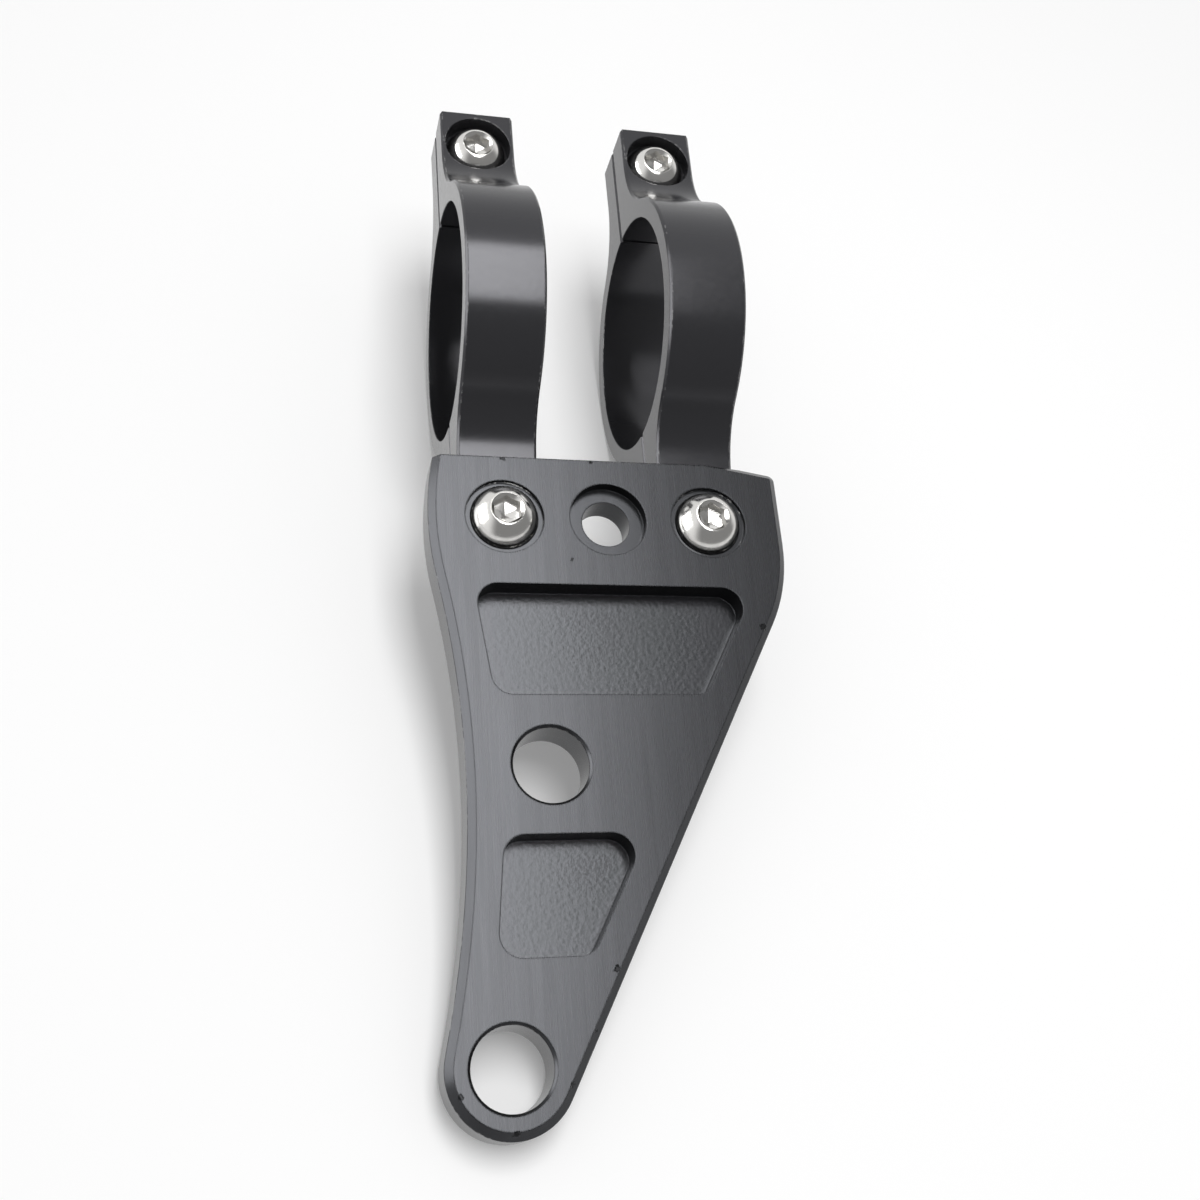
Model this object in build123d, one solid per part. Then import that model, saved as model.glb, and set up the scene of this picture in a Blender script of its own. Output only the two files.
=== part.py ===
from build123d import *
from math import asin, atan2, cos, degrees, hypot, pi, sin, sqrt
import os

# Headlight mounting bracket: a machined side plate bolted to two split fork clamps.

# Fork clamps. The fork axis is X, and the halves part on the plane z = 0.
FORK_DIAMETER = 39.0
RING_WALL = 3.35
CLAMP_WIDTH = 12.5
CLAMP_SPACING = 32.0
PARTING_GAP = 0.5
EAR_HEIGHT = 6.0
FLARE_RADIUS = 14.0
OUTER_SCREW_REACH = 32.5
OUTER_EAR_OVERHANG = 6.5
INNER_SCREW_REACH = 40.0
INNER_EAR_OVERHANG = 8.3
SEAT_HEIGHT = 3.0
SHOULDER_CLEARANCE = 0.2
CLAMP_EDGE_BREAK = 0.35

# Button-head screws
THREAD_DIAMETER = 6.0
HEAD_DIAMETER = 10.5
HEAD_HEIGHT = 3.3
HEAD_CROWN_DIAMETER = 5.5
HEAD_DOME_RADIUS = 5.43
SOCKET_FLATS = 4.0
SOCKET_DEPTH = 2.1
OUTER_SCREW_LENGTH = 16.0
INNER_SCREW_LENGTH = 20.0

# Screw holes
SCREW_CLEARANCE = 0.2
TAPPED_CLEARANCE = 0.05
EAR_COUNTERBORE_CLEARANCE = 0.35
EAR_COUNTERBORE_DEPTH = 2.9
PLATE_COUNTERBORE_CLEARANCE = 0.75
PLATE_COUNTERBORE_DEPTH = 0.7

# Side plate. Its long axis runs from the screw row towards -Y.
PLATE_THICKNESS = 6.5
PLATE_TOP_MARGIN = 10.0
PLATE_LEFT_REACH = 27.45
PLATE_RIGHT_REACH = 28.2
PLATE_BEND_DROP = 10.2
PLATE_BEND_RADIUS = 28.0
TOP_CLIP_LENGTH = 5.6
TOP_CLIP_DROP = 1.0
TOP_CORNER_RADIUS = 1.2
BULGE_RADIUS = 50.0
WAIST_RADIUS = 158.0
TIP_RADIUS = 8.8
TIP_LEFT = 19.4
TIP_DROP = 79.2
PLATE_CHAMFER = 1.1

# Plate holes and pockets
CENTRE_HOLE_DIAMETER = 7.5
CENTRE_COUNTERBORE_DIAMETER = 12.0
CENTRE_COUNTERBORE_DEPTH = 1.8
MIDDLE_HOLE_DIAMETER = 11.0
MIDDLE_HOLE_LEFT = 11.5
MIDDLE_HOLE_DROP = 38.7
TIP_HOLE_DIAMETER = 11.0
HOLE_CHAMFER = 0.4
POCKET_DEPTH = 3.6
POCKET_CORNER_RADIUS = 3.2
POCKET_RIM = 5.0
LARGE_POCKET_DROP = 11.0
LARGE_POCKET_LENGTH = 17.3
SMALL_POCKET_DROP = 48.6
SMALL_POCKET_LENGTH = 16.7

# Sizes that follow from the ones above
bore_radius = FORK_DIAMETER / 2
ring_radius = bore_radius + RING_WALL
half_gap = PARTING_GAP / 2
screw_row = -INNER_SCREW_REACH
plate_top = screw_row + PLATE_TOP_MARGIN
plate_front = SEAT_HEIGHT + PLATE_THICKNESS
outer_ear_end = OUTER_SCREW_REACH + OUTER_EAR_OVERHANG
inner_ear_end = INNER_SCREW_REACH + INNER_EAR_OVERHANG
clearance_radius = THREAD_DIAMETER / 2 + SCREW_CLEARANCE
tapped_radius = THREAD_DIAMETER / 2 + TAPPED_CLEARANCE
ear_counterbore_radius = HEAD_DIAMETER / 2 + EAR_COUNTERBORE_CLEARANCE
plate_counterbore_radius = HEAD_DIAMETER / 2 + PLATE_COUNTERBORE_CLEARANCE
clamp_places = {"left": -CLAMP_SPACING / 2, "right": CLAMP_SPACING / 2}
tip_centre = Vector(-TIP_LEFT, screw_row - TIP_DROP)
middle_hole = Vector(-MIDDLE_HOLE_LEFT, screw_row - MIDDLE_HOLE_DROP)


def drill(radius, x, y, bottom, top):
    """Round cutter along Z between two heights."""
    return Pos(x, y, bottom) * Cylinder(radius, top - bottom, align=(Align.CENTER, Align.CENTER, Align.MIN))


def countersink(radius, x, y, top):
    """Cone that breaks the upper edge of a round hole."""
    cone = Cone(radius, radius + HOLE_CHAMFER, HOLE_CHAMFER, align=(Align.CENTER, Align.CENTER, Align.MAX))
    return Pos(x, y, top) * cone


# Clamp halves


def clamp_outline():
    """Ring with two ears, joined to the ring by tangent flares, in the plane across the fork axis."""
    flare_y = sqrt((ring_radius + FLARE_RADIUS) ** 2 - (EAR_HEIGHT + FLARE_RADIUS) ** 2)
    flare_z = EAR_HEIGHT + FLARE_RADIUS
    toward_ring = atan2(flare_z, flare_y)
    ring_y, ring_z = ring_radius * cos(toward_ring), ring_radius * sin(toward_ring)
    mid_turn = (pi + toward_ring + 3 * pi / 2) / 2
    bend_y = flare_y + FLARE_RADIUS * cos(mid_turn)
    bend_z = flare_z + FLARE_RADIUS * sin(mid_turn)
    lines = [
        Line((outer_ear_end, 0), (outer_ear_end, EAR_HEIGHT)),
        Line((outer_ear_end, EAR_HEIGHT), (flare_y, EAR_HEIGHT)),
        ThreePointArc((flare_y, EAR_HEIGHT), (bend_y, bend_z), (ring_y, ring_z)),
        ThreePointArc((ring_y, ring_z), (0, ring_radius), (-ring_y, ring_z)),
        ThreePointArc((-ring_y, ring_z), (-bend_y, bend_z), (-flare_y, EAR_HEIGHT)),
        Line((-flare_y, EAR_HEIGHT), (-inner_ear_end, EAR_HEIGHT)),
        Line((-inner_ear_end, EAR_HEIGHT), (-inner_ear_end, 0)),
        Line((-inner_ear_end, 0), (outer_ear_end, 0)),
    ]
    return make_face(Wire(lines).edges())


def half_ring():
    """One clamp half above the parting plane, as wide as the clamp and centred on x = 0."""
    gap = Pos(0, half_gap / 2) * Rectangle(4 * inner_ear_end, half_gap)
    section = clamp_outline() - Circle(bore_radius) - gap
    return extrude(Plane.YZ * section, CLAMP_WIDTH / 2, both=True)


def broken_edges(half):
    """Break the outer edges of both side faces of a clamp half, and leave the bore sharp."""
    sides = half.faces().filter_by(Axis.X).sort_by(Axis.X)
    rims = sides[0].edges() + sides[-1].edges()
    middle = bore_radius + RING_WALL / 2
    outside = rims.filter_by(lambda rim: hypot((rim @ 0.5).Y, (rim @ 0.5).Z) > middle)
    return chamfer(outside, CLAMP_EDGE_BREAK)


def front_half():
    """Half that takes the outer screw's head and carries the plate on its cut-down inner ear."""
    seat_length = inner_ear_end
    seat = Box(2 * CLAMP_WIDTH, seat_length, seat_length, align=(Align.CENTER, Align.MAX, Align.MIN))
    half = broken_edges(half_ring() - Pos(0, plate_top + SHOULDER_CLEARANCE, SEAT_HEIGHT) * seat)
    floor = EAR_HEIGHT - EAR_COUNTERBORE_DEPTH
    half -= drill(ear_counterbore_radius, 0, OUTER_SCREW_REACH, floor, ring_radius)
    half -= drill(clearance_radius, 0, OUTER_SCREW_REACH, 0, EAR_HEIGHT)
    return half - drill(clearance_radius, 0, screw_row, 0, SEAT_HEIGHT)


def rear_half():
    """Half behind the parting plane, with a tapped hole in each ear."""
    half = broken_edges(mirror(half_ring(), Plane.XY))
    for y in (OUTER_SCREW_REACH, screw_row):
        half -= drill(tapped_radius, 0, y, -ring_radius, 0)
    return half


# Side plate


def waist_centre():
    """Centre of the hollow left side, tangent to the bulge beside the screws and to the round tip."""
    bulge = Vector(BULGE_RADIUS - PLATE_LEFT_REACH, screw_row)
    from_bulge = WAIST_RADIUS + BULGE_RADIUS
    from_tip = WAIST_RADIUS + TIP_RADIUS
    apart = tip_centre - bulge
    along = (from_bulge ** 2 - from_tip ** 2 + apart.length ** 2) / (2 * apart.length)
    across = sqrt(from_bulge ** 2 - along ** 2)
    unit = apart.normalized()
    return bulge + unit * along + Vector(unit.Y, -unit.X) * across, bulge


def tangent_point(outside, centre, radius):
    """Point where a line from an outside point touches a circle on its right-hand side."""
    reach = outside - centre
    turn = atan2(reach.Y, reach.X) - (pi / 2 - asin(radius / reach.length))
    return centre + Vector(cos(turn), sin(turn)) * radius


def plate_frame():
    """Named points of the plate's outline."""
    waist, bulge = waist_centre()
    bend = Vector(PLATE_RIGHT_REACH, screw_row - PLATE_BEND_DROP)
    slope_end = tangent_point(bend, tip_centre, TIP_RADIUS)
    return waist, bulge, bend, slope_end


def left_edge(y):
    """Where the hollow left side lies at a height on the plate."""
    waist = waist_centre()[0]
    return waist.X + sqrt(WAIST_RADIUS ** 2 - (y - waist.Y) ** 2)


def slope_edge(y, inset):
    """Where a line inside the sloping right side, and parallel to it, lies at a height on the plate."""
    _, _, bend, end = plate_frame()
    run = end - bend
    return bend.X + (y - bend.Y) * run.X / run.Y - inset * run.length / abs(run.Y)


def arc_about(centre, radius, start, end):
    """Short circular arc between two points about a centre."""
    middle = ((start - centre).normalized() + (end - centre).normalized()).normalized()
    return ThreePointArc(start, centre + middle * radius, end)


def plate_outline():
    """Plate seen from the front: bulge, hollow waist, round tip, long slope, bend and clipped corner."""
    waist, bulge, bend, slope_end = plate_frame()
    rise = plate_top - bulge.Y
    top_left = Vector(bulge.X - sqrt(BULGE_RADIUS ** 2 - rise ** 2), plate_top)
    bulge_end = bulge + (waist - bulge).normalized() * BULGE_RADIUS
    waist_end = tip_centre + (waist - tip_centre).normalized() * TIP_RADIUS
    down = (slope_end - bend).normalized()
    half_turn = (pi / 2 + atan2(down.Y, down.X)) / 2
    setback = PLATE_BEND_RADIUS * abs(sin(half_turn) / cos(half_turn))
    bend_start = bend + Vector(0, setback)
    bend_end = bend + down * setback
    bend_centre = bend_start - Vector(PLATE_BEND_RADIUS, 0)
    clip_right = Vector(PLATE_RIGHT_REACH, plate_top - TOP_CLIP_DROP)
    clip_left = Vector(PLATE_RIGHT_REACH - TOP_CLIP_LENGTH, plate_top)
    tip_middle = tip_centre + ((waist_end - tip_centre) + (slope_end - tip_centre)).normalized() * TIP_RADIUS
    lines = [
        arc_about(bulge, BULGE_RADIUS, top_left, bulge_end),
        arc_about(waist, WAIST_RADIUS, bulge_end, waist_end),
        ThreePointArc(waist_end, tip_middle, slope_end),
        Line(slope_end, bend_end),
        arc_about(bend_centre, PLATE_BEND_RADIUS, bend_end, bend_start),
        Line(bend_start, clip_right),
        Line(clip_right, clip_left),
        Line(clip_left, top_left),
    ]
    face = make_face(Wire(lines).edges())
    corner = face.vertices().sort_by_distance(clip_right)[0]
    return fillet(corner, TOP_CORNER_RADIUS)


def pocket(drop, length):
    """Rounded pocket whose right side follows the slope and whose left side follows the waist."""
    top, bottom = screw_row - drop, screw_row - drop - length
    corners = [
        (left_edge(top) + POCKET_RIM, top),
        (slope_edge(top, POCKET_RIM), top),
        (slope_edge(bottom, POCKET_RIM), bottom),
        (left_edge(bottom) + POCKET_RIM, bottom),
    ]
    outline = make_face(Polyline(*corners, close=True).edges())
    outline = fillet(outline.vertices(), POCKET_CORNER_RADIUS)
    return extrude(Pos(0, 0, plate_front - POCKET_DEPTH) * outline, POCKET_DEPTH)


def side_plate():
    """Flat plate with counterbored screw holes, two pockets and the lamp holes."""
    plate = extrude(Pos(0, 0, SEAT_HEIGHT) * plate_outline(), PLATE_THICKNESS)
    front_edges = plate.faces().sort_by(Axis.Z)[-1].edges()
    side_edges = front_edges.filter_by(lambda edge: edge.center().Y < plate_top - TOP_CLIP_DROP)
    plate = chamfer(side_edges, PLATE_CHAMFER)
    floor = plate_front - PLATE_COUNTERBORE_DEPTH
    for x in clamp_places.values():
        plate -= drill(plate_counterbore_radius, x, screw_row, floor, plate_front)
        plate -= drill(clearance_radius, x, screw_row, SEAT_HEIGHT, floor)
    centre_floor = plate_front - CENTRE_COUNTERBORE_DEPTH
    plate -= drill(CENTRE_COUNTERBORE_DIAMETER / 2, 0, screw_row, centre_floor, plate_front)
    plate -= drill(CENTRE_HOLE_DIAMETER / 2, 0, screw_row, SEAT_HEIGHT, centre_floor)
    for centre, diameter in ((middle_hole, MIDDLE_HOLE_DIAMETER), (tip_centre, TIP_HOLE_DIAMETER)):
        plate -= drill(diameter / 2, centre.X, centre.Y, SEAT_HEIGHT, plate_front)
        plate -= countersink(diameter / 2, centre.X, centre.Y, plate_front)
    plate -= pocket(LARGE_POCKET_DROP, LARGE_POCKET_LENGTH)
    return plate - pocket(SMALL_POCKET_DROP, SMALL_POCKET_LENGTH)


# Screws


def screw(length):
    """Button-head screw with a hexagon socket, its head seated on z = 0 and its thread along -Z."""
    shank, head, crown = THREAD_DIAMETER / 2, HEAD_DIAMETER / 2, HEAD_CROWN_DIAMETER / 2
    lines = [
        Line((0, -length), (shank, -length)),
        Line((shank, -length), (shank, 0)),
        Line((shank, 0), (head, 0)),
        RadiusArc((head, 0), (crown, HEAD_HEIGHT), -HEAD_DOME_RADIUS),
        Line((crown, HEAD_HEIGHT), (0, HEAD_HEIGHT)),
        Line((0, HEAD_HEIGHT), (0, -length)),
    ]
    body = revolve(Plane.XZ * make_face(Wire(lines).edges()), Axis.Z)
    flats = RegularPolygon(SOCKET_FLATS / 2, 6, major_radius=False)
    return body - extrude(Pos(0, 0, HEAD_HEIGHT - SOCKET_DEPTH) * flats, SOCKET_DEPTH)


# The bracket lies as it rests: both rings and the back of the tip on the table.


def resting_place(pieces):
    """Turn about X onto the tangent of rings and tip, then centre over the middle of the base."""
    tip_y, tip_z = tip_centre.Y - TIP_RADIUS, SEAT_HEIGHT
    reach = hypot(tip_y, tip_z)
    tilt = degrees(asin(ring_radius / reach) + atan2(tip_z, -tip_y))
    turned = Compound(children=[Rot(X=tilt) * piece for piece in pieces])
    box = turned.bounding_box()
    middle = box.center()
    return Pos(-middle.X, -middle.Y, -box.min.Z) * Rot(X=tilt)


def bracket():
    """Every piece of the bracket by node name, in the clamps' own frame."""
    pieces = {"side_plate": side_plate()}
    front, rear = front_half(), rear_half()
    outer, inner = screw(OUTER_SCREW_LENGTH), screw(INNER_SCREW_LENGTH)
    outer_seat = EAR_HEIGHT - EAR_COUNTERBORE_DEPTH
    inner_seat = plate_front - PLATE_COUNTERBORE_DEPTH
    for side, x in clamp_places.items():
        pieces[side + "_clamp_front_half"] = Pos(x, 0, 0) * front
        pieces[side + "_clamp_rear_half"] = Pos(x, 0, 0) * rear
        pieces[side + "_outer_screw"] = Pos(x, OUTER_SCREW_REACH, outer_seat) * outer
        pieces[side + "_inner_screw"] = Pos(x, screw_row, inner_seat) * inner
    return pieces


def main():
    """Write one file for each piece, in the resting place."""
    os.makedirs("parts", exist_ok=True)
    pieces = bracket()
    place = resting_place(pieces.values())
    for name, piece in pieces.items():
        export_step(place * piece, os.path.join("parts", name + ".step"))


main()
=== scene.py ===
import math

import bpy
import numpy as np
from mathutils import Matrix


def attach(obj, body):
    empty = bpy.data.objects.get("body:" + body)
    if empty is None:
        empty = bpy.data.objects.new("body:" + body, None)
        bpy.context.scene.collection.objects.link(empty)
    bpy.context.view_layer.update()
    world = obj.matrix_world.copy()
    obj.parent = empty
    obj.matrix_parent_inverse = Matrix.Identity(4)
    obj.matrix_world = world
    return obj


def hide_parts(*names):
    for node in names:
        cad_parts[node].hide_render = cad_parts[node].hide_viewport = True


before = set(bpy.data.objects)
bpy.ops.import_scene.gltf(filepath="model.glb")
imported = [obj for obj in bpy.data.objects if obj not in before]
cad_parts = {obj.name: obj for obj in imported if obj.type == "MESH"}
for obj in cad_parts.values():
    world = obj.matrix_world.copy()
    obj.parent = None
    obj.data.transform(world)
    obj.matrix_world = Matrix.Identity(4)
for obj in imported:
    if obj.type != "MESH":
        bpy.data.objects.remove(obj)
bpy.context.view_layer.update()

bl_info = {
    "name": "Headlight mounting bracket",
    "version": (1, 0, 0),
    "blender": (4, 5, 0),
    "location": "View3D > Sidebar > Bracket",
    "description": "Dresses the bracket's solids with anodised metal, threaded screws and a plain stage",
    "category": "Object",
}

MM = 0.001
# The bracket lies turned about X, so that its rings and its tip touch the table.
TILT = math.radians(11.623081)
FORK_AXIS = np.array([0.0, 43.8293, 22.85])

# Places in the clamps' own frame: X along the fork, Z across the parting plane, in millimetres.
CLAMP_X = {"left": -16.0, "right": 16.0}
CLAMP_NODES = tuple(f"{side}_clamp_{half}_half" for side in CLAMP_X for half in ("front", "rear"))
INNER_SCREW = {"y": -40.0, "seat": 8.8, "length": 20.0}
OUTER_SCREW = {"y": 32.5, "seat": 3.1, "length": 16.0}

# Bands of the plate: its front, its pockets' floors and its rim along Z, and its top edge along Y.
FRONT_BAND = (9.4, 9.6)
POCKET_BAND = (5.6, 6.2)
RIM_BAND = (7.9, 9.2)
TOP_EDGE_BAND = (-30.7, -29.9)

# Nicks on the plate's front and rim: x, y and width, all at one height, with an uneven outline. Each is sunk
# by a bump and darkened with painted shade.
NICK_HEIGHT = 9.4
NICK_UNEVEN = 0.9
NICKS = (
    (-19.4, -127.2, 1.1), (-11.7, -121.6, 0.9), (-26.3, -122.2, 0.9), (-4.6, -107.2, 1.0),
    (-8.0, -115.1, 0.8), (22.7, -57.4, 1.2), (-15.8, -30.3, 0.8), (-2.0, -30.4, 0.7),
    (-23.8, -70.2, 0.9), (-6.2, -47.0, 0.5),
)

# Small shapes of a screw, in millimetres.
SEAT_LIP = 0.12
CROWN_LIP = 0.25
CROWN_RISE = 0.02
SOCKET_DIP = 0.15
SOCKET_POINT = 0.5
THREAD_CLEARANCE = 0.01
END_STEP = 0.85
# The dome starts this angle above the seat's edge, in radians. The slopes are rise over run.
DOME_START = 0.02
END_SLOPE = 1.1
FLANK_SLOPE = 2.36
# An end closes to this share of its radius.
CLOSED = 0.01
HEAD_COLUMNS = 144
DOME_ROWS = 16
THREAD_COLUMNS = 60
THREAD_ROWS_PER_TURN = 14

# Edges sharper than these, in degrees, stay sharp. Points nearer than the reach, in millimetres, are one.
SCREW_EDGE = 32
SOLID_EDGE = 24
WELD_REACH = 0.002

# Shares of the plate's colour: on streaks and pocket floors, between streaks, and in specks and in the
# painted shade of dents and nicks.
PALE_DYE = 1.06
DEEP_DYE = 0.94
DARK_SPECK_AND_SHADE = 0.12
CLAMP_DARK_DYE = 0.3
# How strongly each mark shows: specks and chips are wear, while the dark in dents and nicks is painted shade.
PLATE_SPECKS = 0.6
CLAMP_SPECKS = 0.5
RIM_DENT_SHADE = 0.92
RIM_CHIPS = 0.9
CLAMP_CHIPS = 0.6
NICK_SHADE = 0.75
# Noise cells in one metre. Lines and streaks have one number across the plate and one along it.
LINE_NOISE = (5500.0, 70.0)
STREAK_NOISE = (900.0, 35.0)
MOTTLE_NOISE = 1500.0
DUST_NOISE = 520.0
COARSE_WEAR_NOISE = 150.0
FINE_WEAR_NOISE = 1300.0
NICK_NOISE = 2200.0
# Where a noise starts to count and where it counts fully.
NOISE_MIDDLE = (0.3, 0.7)
SPECK_PEAKS = (0.76, 0.80)
CHIP_PEAKS = (0.285, 0.335)
# The next pair picks the spots on edges that get painted dent shade.
DENT_SHADE_PEAKS = (0.20, 0.25)
# Cosine of the turn from a face's own normal to the rounded one, where an edge starts and where it is full.
EDGE_TURN = (0.998, 0.955)
# Roughness from low to high: the first two are added to the satin one.
LINE_ROUGHNESS = (-0.02, 0.03)
CLAMP_ROUGHNESS = (-0.09, -0.04)
STEEL_ROUGHNESS = (0.10, 0.24)
# Bumps: strength, and depth in millimetres.
LINE_BUMP, LINE_DEPTH = 0.045, 0.03
POCKET_BUMP, POCKET_DEPTH = 0.40, 0.06
NICK_BUMP, NICK_DEPTH = 0.9, 0.3
CLAMP_BUMP, CLAMP_DEPTH = 0.06, 0.03
STEEL_BUMP, STEEL_DEPTH = 0.12, 0.03
STEEL_EDGE_BREAK = 0.1

# The floor, in metres, and its share of plain white: near the bracket, far off, and where it is mirrored.
FLOOR_REACH = 4.0
NEAR_FLOOR = 0.16
FAR_FLOOR = 0.60
NEAR_WHITE = 0.2
FAR_WHITE = 1.0
MIRRORED_WHITE = 0.6

# The surroundings: their light on matt faces, and how they fade in mirrored rays towards the dim side.
ROOM_LIGHT = 0.46
DIM_SIDE = (0.45, -0.75, 0.48)
DIM_FADE = (0.1, 0.6)
DIM_LEVEL = 0.29

# Soft boxes face down, then turn about Y by degrees. One of them shows only in gloss.
SOFT_BOXES = (
    {"name": "soft_box_above", "size": (0.20, 0.52), "watts": 2.8,
     "place": (0.045, 0.02, 0.64), "turn": 4, "on_matt": True},
    {"name": "soft_box_left", "size": (0.30, 0.60), "watts": 3.2,
     "place": (-0.62, 0.165, 0.22), "turn": -71, "on_matt": False},
)


class BracketScrewSettings(bpy.types.PropertyGroup):
    """Sizes of the four button-head screws, in millimetres."""

    head_diameter: bpy.props.FloatProperty(
        name="Head diameter", description="Width of the head", default=10.5)
    head_height: bpy.props.FloatProperty(
        name="Head height", description="Height of the head", default=3.3)
    crown_diameter: bpy.props.FloatProperty(
        name="Crown", description="Width of the flat on the dome", default=5.5)
    socket_flats: bpy.props.FloatProperty(
        name="Socket", description="Width across the socket's flats", default=4.0)
    socket_depth: bpy.props.FloatProperty(
        name="Socket depth", description="Depth of the socket", default=2.1)
    socket_mouth: bpy.props.FloatProperty(
        name="Socket mouth", description="Width of the mouth's chamfer", default=5.1)
    thread_diameter: bpy.props.FloatProperty(
        name="Thread", description="Outer width of the thread", default=6.0)
    thread_pitch: bpy.props.FloatProperty(
        name="Pitch", description="Rise of the thread in one turn", default=1.0)
    thread_depth: bpy.props.FloatProperty(
        name="Thread depth", description="Depth of the groove", default=0.55)


class BracketFinishSettings(bpy.types.PropertyGroup):
    """Colours and roughness of the two metals."""

    plate: bpy.props.FloatVectorProperty(
        name="Plate", description="Colour of the drawn and dyed plate", subtype="COLOR",
        default=(0.040, 0.041, 0.044))
    clamps: bpy.props.FloatVectorProperty(
        name="Clamps", description="Colour of the dyed clamps", subtype="COLOR",
        default=(0.037, 0.037, 0.041))
    bare: bpy.props.FloatVectorProperty(
        name="Bare", description="Colour of aluminium where the dye is chipped", subtype="COLOR",
        default=(0.40, 0.40, 0.40))
    steel: bpy.props.FloatVectorProperty(
        name="Steel", description="Colour of the stainless screws", subtype="COLOR",
        default=(0.68, 0.67, 0.65))
    plate_metal: bpy.props.FloatProperty(
        name="Plate metal", description="How metallic the plate looks", subtype="FACTOR", default=0.9)
    clamp_metal: bpy.props.FloatProperty(
        name="Clamp metal", description="How metallic the clamps look", subtype="FACTOR", default=0.5)
    satin: bpy.props.FloatProperty(
        name="Satin", description="Roughness of the plate", subtype="FACTOR", default=0.27)
    edge_break: bpy.props.FloatProperty(
        name="Edge break", description="Rounding that the light sees on edges, in millimetres", default=0.28)


class BracketStageSettings(bpy.types.PropertyGroup):
    """Camera and floor."""

    camera_place: bpy.props.FloatVectorProperty(
        name="Camera", description="Where the camera stands", subtype="TRANSLATION", unit="LENGTH",
        default=(-0.055884, -0.131991, 0.193594))
    camera_turn: bpy.props.FloatVectorProperty(
        name="Turn", description="How the camera is turned", subtype="EULER", unit="ROTATION",
        default=(math.radians(35.8674), math.radians(-12.2226), math.radians(-7.4033)))
    camera_lens: bpy.props.FloatProperty(
        name="Lens", description="Focal length on a 36 mm sensor", default=44.0)
    floor_colour: bpy.props.FloatVectorProperty(
        name="Floor", description="Colour of the floor", subtype="COLOR", default=(0.95, 0.95, 0.95))


def placed(points):
    """Turn points from the clamps' frame into the resting place and into metres."""
    turn = np.array([
        [1, 0, 0],
        [0, math.cos(TILT), -math.sin(TILT)],
        [0, math.sin(TILT), math.cos(TILT)],
    ])
    return (np.asarray(points) @ turn.T + FORK_AXIS) * MM


def grid_faces(rows, columns, start):
    """Quads of a grid that closes round its columns."""
    row, column = np.meshgrid(np.arange(rows - 1), np.arange(columns), indexing="ij")
    after = (column + 1) % columns
    quads = np.stack([row * columns + column, row * columns + after,
                      (row + 1) * columns + after, (row + 1) * columns + column], axis=-1)
    return quads.reshape(-1, 4) + start


def new_piece(name, grids, material, sharp_degrees):
    """One object from several closed grids of points, given in the clamps' frame."""
    points, faces, start = [], [], 0
    for grid in grids:
        rows, columns = grid.shape[:2]
        points.append(grid.reshape(-1, 3))
        faces.append(grid_faces(rows, columns, start))
        start += rows * columns
    mesh = bpy.data.meshes.new(name)
    mesh.from_pydata(placed(np.concatenate(points)).tolist(), [], np.concatenate(faces).tolist())
    mesh.polygons.foreach_set("use_smooth", np.ones(len(mesh.polygons), bool))
    mesh.set_sharp_from_angle(angle=math.radians(sharp_degrees))
    mesh.materials.append(material)
    mesh.validate()
    piece = bpy.data.objects.new(name, mesh)
    bpy.context.scene.collection.objects.link(piece)
    return piece


def hexagon(angle, flats):
    """Distance from the axis to a hexagon's side at an angle."""
    return flats / 2 / np.cos((angle + math.pi / 6) % (math.pi / 3) - math.pi / 6)


def screw_head(s):
    """Head as rings: seat, dome, crown, cone down to the hexagon, its wall and its floor.

    The dome is a ball's cap through the seat's edge and the crown's edge, with the ball's middle sunk below
    the seat.
    """
    angle = np.linspace(0, 2 * math.pi, HEAD_COLUMNS, endpoint=False)
    head, crown, mouth = s.head_diameter / 2, s.crown_diameter / 2, s.socket_mouth / 2
    sunk = (head ** 2 - crown ** 2 - s.head_height ** 2) / (2 * s.head_height)
    dome = math.hypot(head, sunk)
    top = s.head_height + CROWN_RISE
    wall = hexagon(angle, s.socket_flats)
    floor = s.head_height - s.socket_depth
    first = math.atan2(sunk, head) + DOME_START
    last = math.atan2(s.head_height + sunk, crown)
    rings = [(s.thread_diameter / 2, 0), (head - SEAT_LIP, 0)]
    for t in np.linspace(first, last, DOME_ROWS):
        rings.append((dome * math.cos(t), dome * math.sin(t) - sunk))
    rings += [
        (crown - CROWN_LIP, top),
        (mouth, top),
        (wall, top - (mouth - wall)),
        (wall, floor),
        (wall / 2, floor - SOCKET_DIP),
        (wall * CLOSED, floor - SOCKET_POINT),
    ]
    radius = np.array([r + 0 * angle for r, _ in rings])
    height = np.array([h + 0 * angle for _, h in rings])
    return np.stack([radius * np.cos(angle), radius * np.sin(angle), height], axis=-1)


def screw_thread(s, length):
    """Shank whose radius falls and rises once along each pitch, shifted by the angle, with a coned end."""
    angle = np.linspace(0, 2 * math.pi, THREAD_COLUMNS, endpoint=False)
    rows = int(length / s.thread_pitch * THREAD_ROWS_PER_TURN) + 1
    height = np.linspace(-length, 0, rows)[:, None]
    phase = (height / s.thread_pitch - angle / (2 * math.pi)) % 1
    groove = np.clip(FLANK_SLOPE * (0.5 - np.abs(phase - 0.5)), 0, 1)
    thread = s.thread_diameter / 2 - THREAD_CLEARANCE - s.thread_depth * groove
    end = s.thread_diameter / 2 - END_STEP + (height + length) * END_SLOPE
    radius = np.minimum(thread, end)
    grid = np.stack([radius * np.cos(angle), radius * np.sin(angle), height + 0 * angle], axis=-1)
    cap = grid[:1] * np.array([CLOSED, CLOSED, 1])
    return np.concatenate([cap, grid])


def node(tree, kind, sockets=None, **settings):
    """Add a node, set its properties and its input values, and link inputs given as sockets."""
    made = tree.nodes.new(kind)
    for key, value in settings.items():
        setattr(made, key, value)
    for key, value in (sockets or {}).items():
        if isinstance(value, bpy.types.NodeSocket):
            tree.links.new(value, made.inputs[key])
        else:
            made.inputs[key].default_value = value
    return made


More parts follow.
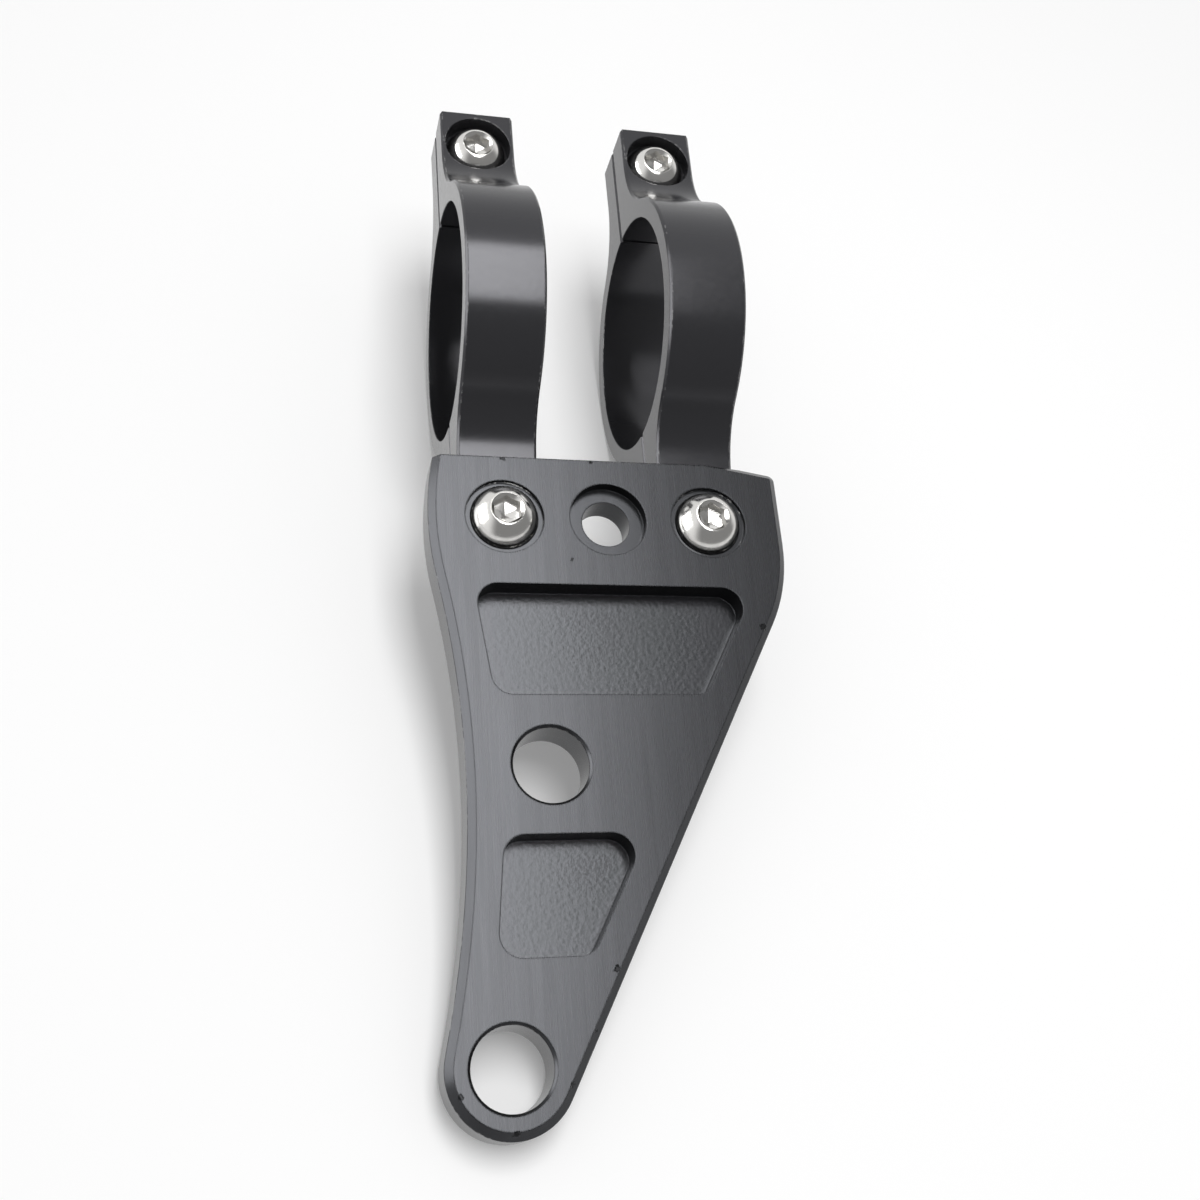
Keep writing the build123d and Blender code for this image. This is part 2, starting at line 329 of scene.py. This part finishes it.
def group(name, inputs, outputs):
    """An empty shader group with its sockets."""
    tree = bpy.data.node_groups.new(name, "ShaderNodeTree")
    for side, sockets in (("INPUT", inputs), ("OUTPUT", outputs)):
        for label, kind in sockets:
            tree.interface.new_socket(label, in_out=side, socket_type=kind)
    return tree, tree.nodes.new("NodeGroupInput"), tree.nodes.new("NodeGroupOutput")


def times(tree, first, second):
    """Product of two values."""
    return node(tree, "ShaderNodeMath", {0: first, 1: second}, operation="MULTIPLY").outputs[0]


def larger(tree, first, second):
    """The larger of two values."""
    return node(tree, "ShaderNodeMath", {0: first, 1: second}, operation="MAXIMUM").outputs[0]


def between(tree, value, band):
    """One where a value lies inside a band given in millimetres, and zero elsewhere."""
    low, high = (MM * limit for limit in band)
    return node(tree, "ShaderNodeMath", {0: value, 1: (low + high) / 2, 2: (high - low) / 2},
                operation="COMPARE").outputs[0]


def ranged(tree, value, start, end, low=0.0, high=1.0, **settings):
    """A value's stretch from start to end turned into one from low to high."""
    sockets = {"Value": value, "From Min": start, "From Max": end, "To Min": low, "To Max": high}
    return node(tree, "ShaderNodeMapRange", sockets, **settings).outputs[0]


def noise(tree, place, scale, detail=2.0):
    """A noise node at a place."""
    return node(tree, "ShaderNodeTexNoise", {"Vector": place, "Scale": scale, "Detail": detail})


def tinted(tree, factor, under, over):
    """One colour over another by a factor."""
    return node(tree, "ShaderNodeMix", {0: factor, 6: under, 7: over}, data_type="RGBA").outputs[2]


def shaded(colour, share):
    """A share of a colour."""
    return (*(share * v for v in colour), 1)


def bumped(tree, strength, depth, height, normal, **settings):
    """A normal made uneven by a height, with a depth in millimetres."""
    sockets = {"Strength": strength, "Distance": depth * MM, "Height": height, "Normal": normal}
    return node(tree, "ShaderNodeBump", sockets, **settings).outputs[0]


def plate_space(tree):
    """Object coordinates turned back into the clamps' frame, in metres."""
    place = node(tree, "ShaderNodeTexCoord").outputs["Object"]
    shift = node(tree, "ShaderNodeMapping", {"Vector": place, "Location": tuple(-FORK_AXIS * MM)})
    return node(tree, "ShaderNodeMapping", {"Vector": shift.outputs[0], "Rotation": (-TILT, 0, 0)}).outputs[0]


def seen_rays(tree):
    """The camera's own rays, and one for all that show the surroundings: also mirrored or through glass."""
    rays = node(tree, "ShaderNodeLightPath")
    camera = rays.outputs["Is Camera Ray"]
    first = larger(tree, camera, rays.outputs["Is Glossy Ray"])
    return camera, larger(tree, first, rays.outputs["Is Transmission Ray"])


def chip_and_dent_shade_group():
    """Edges are where the rounded normal leaves the face's own.

    Two noises together pick out bare chips on them, and spots for painted dent shade where the coarse noise
    is low.
    """
    tree, given, result = group(
        "chips_and_dent_shade", [("Radius", "NodeSocketFloat")],
        [("Chips", "NodeSocketFloat"), ("DentShade", "NodeSocketFloat"), ("Normal", "NodeSocketVector")])
    rounded = node(tree, "ShaderNodeBevel", {"Radius": given.outputs["Radius"]}, samples=4)
    face = node(tree, "ShaderNodeNewGeometry")
    agree = node(tree, "ShaderNodeVectorMath", {0: rounded.outputs[0], 1: face.outputs["Normal"]},
                 operation="DOT_PRODUCT")
    edge = ranged(tree, agree.outputs["Value"], *EDGE_TURN)
    place = node(tree, "ShaderNodeTexCoord").outputs["Object"]
    coarse = noise(tree, place, COARSE_WEAR_NOISE).outputs[0]
    fine = noise(tree, place, FINE_WEAR_NOISE, detail=4.0).outputs[0]
    rest = node(tree, "ShaderNodeMath", {0: 1.0, 1: coarse}, operation="SUBTRACT").outputs[0]
    # Chips are wear; the dent spots only carry painted shade.
    for label, where, peaks in (("Chips", coarse, CHIP_PEAKS), ("DentShade", rest, DENT_SHADE_PEAKS)):
        picked = ranged(tree, times(tree, where, fine), *peaks)
        tree.links.new(times(tree, edge, picked), result.inputs[label])
    tree.links.new(rounded.outputs[0], result.inputs["Normal"])


def grain_group():
    """Lines and streaks are noise stretched along Y.

    Mottle is even noise, and specks are another noise's rare peaks.
    """
    tree, given, result = group(
        "metal_grain", [("Place", "NodeSocketVector")],
        [("Lines", "NodeSocketFloat"), ("Streaks", "NodeSocketFloat"), ("Mottle", "NodeSocketFloat"),
         ("Specks", "NodeSocketFloat")])
    place = given.outputs["Place"]
    for label, (across, along) in (("Lines", LINE_NOISE), ("Streaks", STREAK_NOISE)):
        drawn = node(tree, "ShaderNodeMapping", {"Vector": place, "Scale": (across, along, across)})
        tree.links.new(noise(tree, drawn.outputs[0], 1.0).outputs[0], result.inputs[label])
    tree.links.new(noise(tree, place, MOTTLE_NOISE).outputs[0], result.inputs["Mottle"])
    dust = noise(tree, place, DUST_NOISE).outputs[0]
    tree.links.new(ranged(tree, dust, *SPECK_PEAKS), result.inputs["Specks"])


def nick_mask(tree, place):
    """One inside each nick: a small ball about its middle, with an uneven edge from noise."""
    rough = noise(tree, place, NICK_NOISE).outputs["Color"]
    uneven = node(tree, "ShaderNodeVectorMath", {0: rough, 1: (NICK_UNEVEN * MM,) * 3, 2: place},
                  operation="MULTIPLY_ADD").outputs[0]
    mask = 0.0
    for x, y, width in NICKS:
        middle = (np.array([x, y, NICK_HEIGHT]) + NICK_UNEVEN / 2) * MM
        away = node(tree, "ShaderNodeVectorMath", {0: uneven, 1: tuple(middle)}, operation="DISTANCE")
        inside = ranged(tree, away.outputs["Value"], width / 2 * MM, width / 3 * MM)
        mask = larger(tree, mask, inside)
    return mask


def anodised_base(name, finish, metal):
    """A dark metal with its shared groups and its place, and a way to colour it with its chips bare."""
    material = bpy.data.materials.new(name)
    material.use_nodes = True
    tree = material.node_tree
    shader = tree.nodes["Principled BSDF"]
    shader.inputs["Metallic"].default_value = metal
    place = plate_space(tree)
    grain = node(tree, "ShaderNodeGroup", {"Place": place}, node_tree=bpy.data.node_groups["metal_grain"])
    edges = node(tree, "ShaderNodeGroup", {"Radius": finish.edge_break * MM},
                 node_tree=bpy.data.node_groups["chips_and_dent_shade"])

    def coloured(base, wear):
        chips = times(tree, edges.outputs["Chips"], wear)
        tree.links.new(tinted(tree, chips, base, (*finish.bare, 1)), shader.inputs["Base Color"])

    return material, tree, shader, place, grain.outputs, edges.outputs, coloured


def plate_material(finish):
    """Satin plate: drawn lines on its front, mottled pocket floors, specks, a chipped rim, and painted shade
    in dents on the rim and in sunk nicks.
    """
    material, tree, shader, place, grain, edges, coloured = anodised_base(
        "anodised_plate", finish, finish.plate_metal)
    spot = node(tree, "ShaderNodeSeparateXYZ", {0: place}).outputs
    front = between(tree, spot["Z"], FRONT_BAND)
    floor = between(tree, spot["Z"], POCKET_BAND)
    rim = larger(tree, between(tree, spot["Z"], RIM_BAND), between(tree, spot["Y"], TOP_EDGE_BAND))

    pale, deep, dark = (shaded(finish.plate, share) for share in (PALE_DYE, DEEP_DYE, DARK_SPECK_AND_SHADE))
    streaked = tinted(tree, ranged(tree, grain["Streaks"], *NOISE_MIDDLE), deep, pale)
    dyed = tinted(tree, floor, streaked, pale)
    specked = tinted(tree, times(tree, grain["Specks"], PLATE_SPECKS), dyed, dark)
    # Painted shade: spots along the rim are darkened as if shaded inside dents.
    dent_shade = times(tree, edges["DentShade"], rim)
    dent_shaded = tinted(tree, times(tree, dent_shade, RIM_DENT_SHADE), specked, dark)
    # The nicks are sunk by a bump below; the darkening here is painted shade.
    nicks = nick_mask(tree, place)
    nick_shaded = tinted(tree, times(tree, nicks, NICK_SHADE), dent_shaded, dark)
    coloured(nick_shaded, times(tree, rim, RIM_CHIPS))

    low, high = (finish.satin + part for part in LINE_ROUGHNESS)
    lined = ranged(tree, grain["Lines"], 0.0, 1.0, low, high)
    rough = node(tree, "ShaderNodeMix", {0: front, 2: finish.satin, 3: lined})
    tree.links.new(rough.outputs[0], shader.inputs["Roughness"])

    drawn = bumped(tree, times(tree, front, LINE_BUMP), LINE_DEPTH, grain["Lines"], edges["Normal"])
    cast = bumped(tree, times(tree, floor, POCKET_BUMP), POCKET_DEPTH, grain["Mottle"], drawn)
    hollow = bumped(tree, NICK_BUMP, NICK_DEPTH, nicks, cast, invert=True)
    tree.links.new(hollow, shader.inputs["Normal"])
    return material


def clamp_material(finish):
    """Smoother clamps, with a faint mottle, a few specks and lightly chipped edges."""
    material, tree, shader, _, grain, edges, coloured = anodised_base(
        "anodised_clamps", finish, finish.clamp_metal)
    specks = times(tree, grain["Specks"], CLAMP_SPECKS)
    dark = shaded(finish.clamps, CLAMP_DARK_DYE)
    coloured(tinted(tree, specks, (*finish.clamps, 1), dark), CLAMP_CHIPS)
    low, high = (finish.satin + part for part in CLAMP_ROUGHNESS)
    tree.links.new(ranged(tree, grain["Mottle"], *NOISE_MIDDLE, low, high), shader.inputs["Roughness"])
    milled = bumped(tree, CLAMP_BUMP, CLAMP_DEPTH, grain["Mottle"], edges["Normal"])
    tree.links.new(milled, shader.inputs["Normal"])
    return material


def steel_material(finish):
    """Bright stainless steel with softly rounded edges."""
    material = bpy.data.materials.new("stainless")
    material.use_nodes = True
    tree = material.node_tree
    shader = tree.nodes["Principled BSDF"]
    shader.inputs["Metallic"].default_value = 1.0
    shader.inputs["Base Color"].default_value = (*finish.steel, 1)
    grain = node(tree, "ShaderNodeGroup", {"Place": plate_space(tree)},
                 node_tree=bpy.data.node_groups["metal_grain"]).outputs
    tree.links.new(ranged(tree, grain["Mottle"], 0.0, 1.0, *STEEL_ROUGHNESS), shader.inputs["Roughness"])
    edges = node(tree, "ShaderNodeBevel", {"Radius": STEEL_EDGE_BREAK * MM}, samples=3)
    uneven = bumped(tree, STEEL_BUMP, STEEL_DEPTH, grain["Mottle"], edges.outputs[0])
    tree.links.new(uneven, shader.inputs["Normal"])
    return material


def dress(node_name, material):
    """Give a node's solid its material, with round faces shaded smooth and real edges kept."""
    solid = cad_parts[node_name]
    solid.data.materials.clear()
    solid.data.materials.append(material)
    solid.data.polygons.foreach_set("use_smooth", np.ones(len(solid.data.polygons), bool))
    weld = solid.modifiers.new("weld", "WELD")
    weld.merge_threshold = WELD_REACH * MM
    split = solid.modifiers.new("edges", "EDGE_SPLIT")
    split.split_angle = math.radians(SOLID_EDGE)


class OBJECT_OT_bracket_finish(bpy.types.Operator):
    """Makes the shared shader groups."""

    bl_idname = "object.bracket_finish"
    bl_label = "Finish"

    def execute(self, context):
        chip_and_dent_shade_group()
        grain_group()
        return {"FINISHED"}


class OBJECT_OT_bracket_plate(bpy.types.Operator):
    """Dresses the side plate in satin black anodising with drawn lines and mottled pockets."""

    bl_idname = "object.bracket_plate"
    bl_label = "Side plate"

    def execute(self, context):
        dress("side_plate", plate_material(context.scene.bracket_finish))
        return {"FINISHED"}


class OBJECT_OT_bracket_clamps(bpy.types.Operator):
    """Dresses the four clamp halves in smoother black anodising."""

    bl_idname = "object.bracket_clamps"
    bl_label = "Fork clamps"

    def execute(self, context):
        material = clamp_material(context.scene.bracket_finish)
        for name in CLAMP_NODES:
            dress(name, material)
        return {"FINISHED"}


class OBJECT_OT_bracket_screws(bpy.types.Operator):
    """Builds the four threaded button-head screws in place of their plain solids."""

    bl_idname = "object.bracket_screws"
    bl_label = "Screws"

    def execute(self, context):
        s = context.scene.bracket_screws
        steel = steel_material(context.scene.bracket_finish)
        for side, x in CLAMP_X.items():
            for which, spot in (("inner", INNER_SCREW), ("outer", OUTER_SCREW)):
                shift = np.array([x, spot["y"], spot["seat"]])
                grids = [screw_head(s) + shift, screw_thread(s, spot["length"]) + shift]
                node_name = f"{side}_{which}_screw"
                piece = new_piece(f"{node_name}_threaded", grids, steel, SCREW_EDGE)
                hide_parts(node_name)
                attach(piece, "root")
        return {"FINISHED"}


class OBJECT_OT_bracket_stage(bpy.types.Operator):
    """Sets the floor, the soft light and the camera."""

    bl_idname = "object.bracket_stage"
    bl_label = "Stage"

    def execute(self, context):
        stage = context.scene.bracket_stage
        self.floor(stage)
        self.surroundings()
        for soft_box in SOFT_BOXES:
            self.light(soft_box)
        self.camera(context, stage)
        context.scene.view_settings.view_transform = "Standard"
        return {"FINISHED"}

    def floor(self, stage):
        """A wide plane at the table's height, in matt white that stays pale in soft shadows and far off."""
        reach = FLOOR_REACH
        mesh = bpy.data.meshes.new("floor")
        mesh.from_pydata([(-reach, -reach, 0), (reach, -reach, 0), (reach, reach, 0), (-reach, reach, 0)],
                         [], [(0, 1, 2, 3)])
        material = bpy.data.materials.new("floor")
        material.use_nodes = True
        tree = material.node_tree
        shader = tree.nodes["Principled BSDF"]
        shader.inputs["Base Color"].default_value = (*stage.floor_colour, 1)
        shader.inputs["Roughness"].default_value = 0.9
        shader.inputs["Specular IOR Level"].default_value = 0.1
        white = node(tree, "ShaderNodeEmission", {"Color": (1, 1, 1, 1), "Strength": 1.0})
        camera, seen = seen_rays(tree)
        place = node(tree, "ShaderNodeTexCoord").outputs["Object"]
        away = node(tree, "ShaderNodeVectorMath", {0: place}, operation="LENGTH").outputs["Value"]
        paler = ranged(tree, away, NEAR_FLOOR, FAR_FLOOR,
                       NEAR_WHITE - MIRRORED_WHITE, FAR_WHITE - MIRRORED_WHITE)
        share = node(tree, "ShaderNodeMath", {0: camera, 1: paler, 2: times(tree, seen, MIRRORED_WHITE)},
                     operation="MULTIPLY_ADD")
        pale = node(tree, "ShaderNodeMixShader",
                    {0: share.outputs[0], 1: shader.outputs[0], 2: white.outputs[0]})
        tree.links.new(pale.outputs[0], tree.nodes["Material Output"].inputs["Surface"])
        mesh.materials.append(material)
        floor = bpy.data.objects.new("floor", mesh)
        bpy.context.scene.collection.objects.link(floor)

    def surroundings(self):
        """White for the camera, weaker as light on matt faces, and fading to a dim side where mirrored."""
        world = bpy.data.worlds.new("surroundings")
        world.use_nodes = True
        bpy.context.scene.world = world
        tree = world.node_tree
        back = tree.nodes["Background"]
        camera, seen = seen_rays(tree)
        side = node(tree, "ShaderNodeTexCoord").outputs["Generated"]
        shade = node(tree, "ShaderNodeVectorMath", {0: side, 1: DIM_SIDE}, operation="DOT_PRODUCT")
        room = ranged(tree, shade.outputs["Value"], *DIM_FADE, 1.0, DIM_LEVEL,
                      interpolation_type="SMOOTHSTEP")
        shown = node(tree, "ShaderNodeMix", {0: camera, 2: room, 3: 1.0})
        level = node(tree, "ShaderNodeMix", {0: seen, 2: ROOM_LIGHT, 3: shown.outputs[0]})
        tree.links.new(level.outputs[0], back.inputs["Strength"])
        back.inputs["Color"].default_value = (1, 1, 1, 1)

    def light(self, soft_box):
        """One area lamp from its line of values."""
        lamp = bpy.data.lights.new(soft_box["name"], "AREA")
        lamp.shape = "RECTANGLE"
        lamp.size, lamp.size_y = soft_box["size"]
        lamp.energy = soft_box["watts"]
        box = bpy.data.objects.new(soft_box["name"], lamp)
        box.location = soft_box["place"]
        box.rotation_euler = (0, math.radians(soft_box["turn"]), 0)
        box.visible_diffuse = soft_box["on_matt"]
        bpy.context.scene.collection.objects.link(box)

    def camera(self, context, stage):
        """The photograph's viewpoint, aimed at the middle of this one bracket."""
        lens = bpy.data.cameras.new("camera")
        lens.lens = stage.camera_lens
        lens.sensor_width = 36
        lens.sensor_fit = "HORIZONTAL"
        lens.clip_start = 0.005
        camera = bpy.data.objects.new("camera", lens)
        camera.location = stage.camera_place
        camera.rotation_euler = stage.camera_turn
        context.scene.collection.objects.link(camera)
        context.scene.camera = camera


class VIEW3D_PT_bracket(bpy.types.Panel):
    """Lists the bracket's steps in the sidebar."""

    bl_label = "Headlight bracket"
    bl_space_type = "VIEW_3D"
    bl_region_type = "UI"
    bl_category = "Bracket"

    def draw(self, context):
        scene = context.scene
        for step in OPERATORS:
            self.layout.operator(step.bl_idname)
        for settings in (scene.bracket_screws, scene.bracket_finish, scene.bracket_stage):
            box = self.layout.box()
            for key in settings.bl_rna.properties.keys():
                if key not in {"rna_type", "name"}:
                    box.prop(settings, key)


OPERATORS = (
    OBJECT_OT_bracket_finish,
    OBJECT_OT_bracket_plate,
    OBJECT_OT_bracket_clamps,
    OBJECT_OT_bracket_screws,
    OBJECT_OT_bracket_stage,
)
SETTINGS = (BracketScrewSettings, BracketFinishSettings, BracketStageSettings)


def register():
    for cls in (*SETTINGS, *OPERATORS, VIEW3D_PT_bracket):
        bpy.utils.register_class(cls)
    bpy.types.Scene.bracket_screws = bpy.props.PointerProperty(type=BracketScrewSettings)
    bpy.types.Scene.bracket_finish = bpy.props.PointerProperty(type=BracketFinishSettings)
    bpy.types.Scene.bracket_stage = bpy.props.PointerProperty(type=BracketStageSettings)


def unregister():
    del bpy.types.Scene.bracket_stage
    del bpy.types.Scene.bracket_finish
    del bpy.types.Scene.bracket_screws
    for cls in reversed((*SETTINGS, *OPERATORS, VIEW3D_PT_bracket)):
        bpy.utils.unregister_class(cls)


def main():
    """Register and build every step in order."""
    register()
    bpy.ops.object.bracket_finish()
    bpy.ops.object.bracket_plate()
    bpy.ops.object.bracket_clamps()
    bpy.ops.object.bracket_screws()
    bpy.ops.object.bracket_stage()
    bpy.context.view_layer.update()


if __name__ == "__main__":
    main()
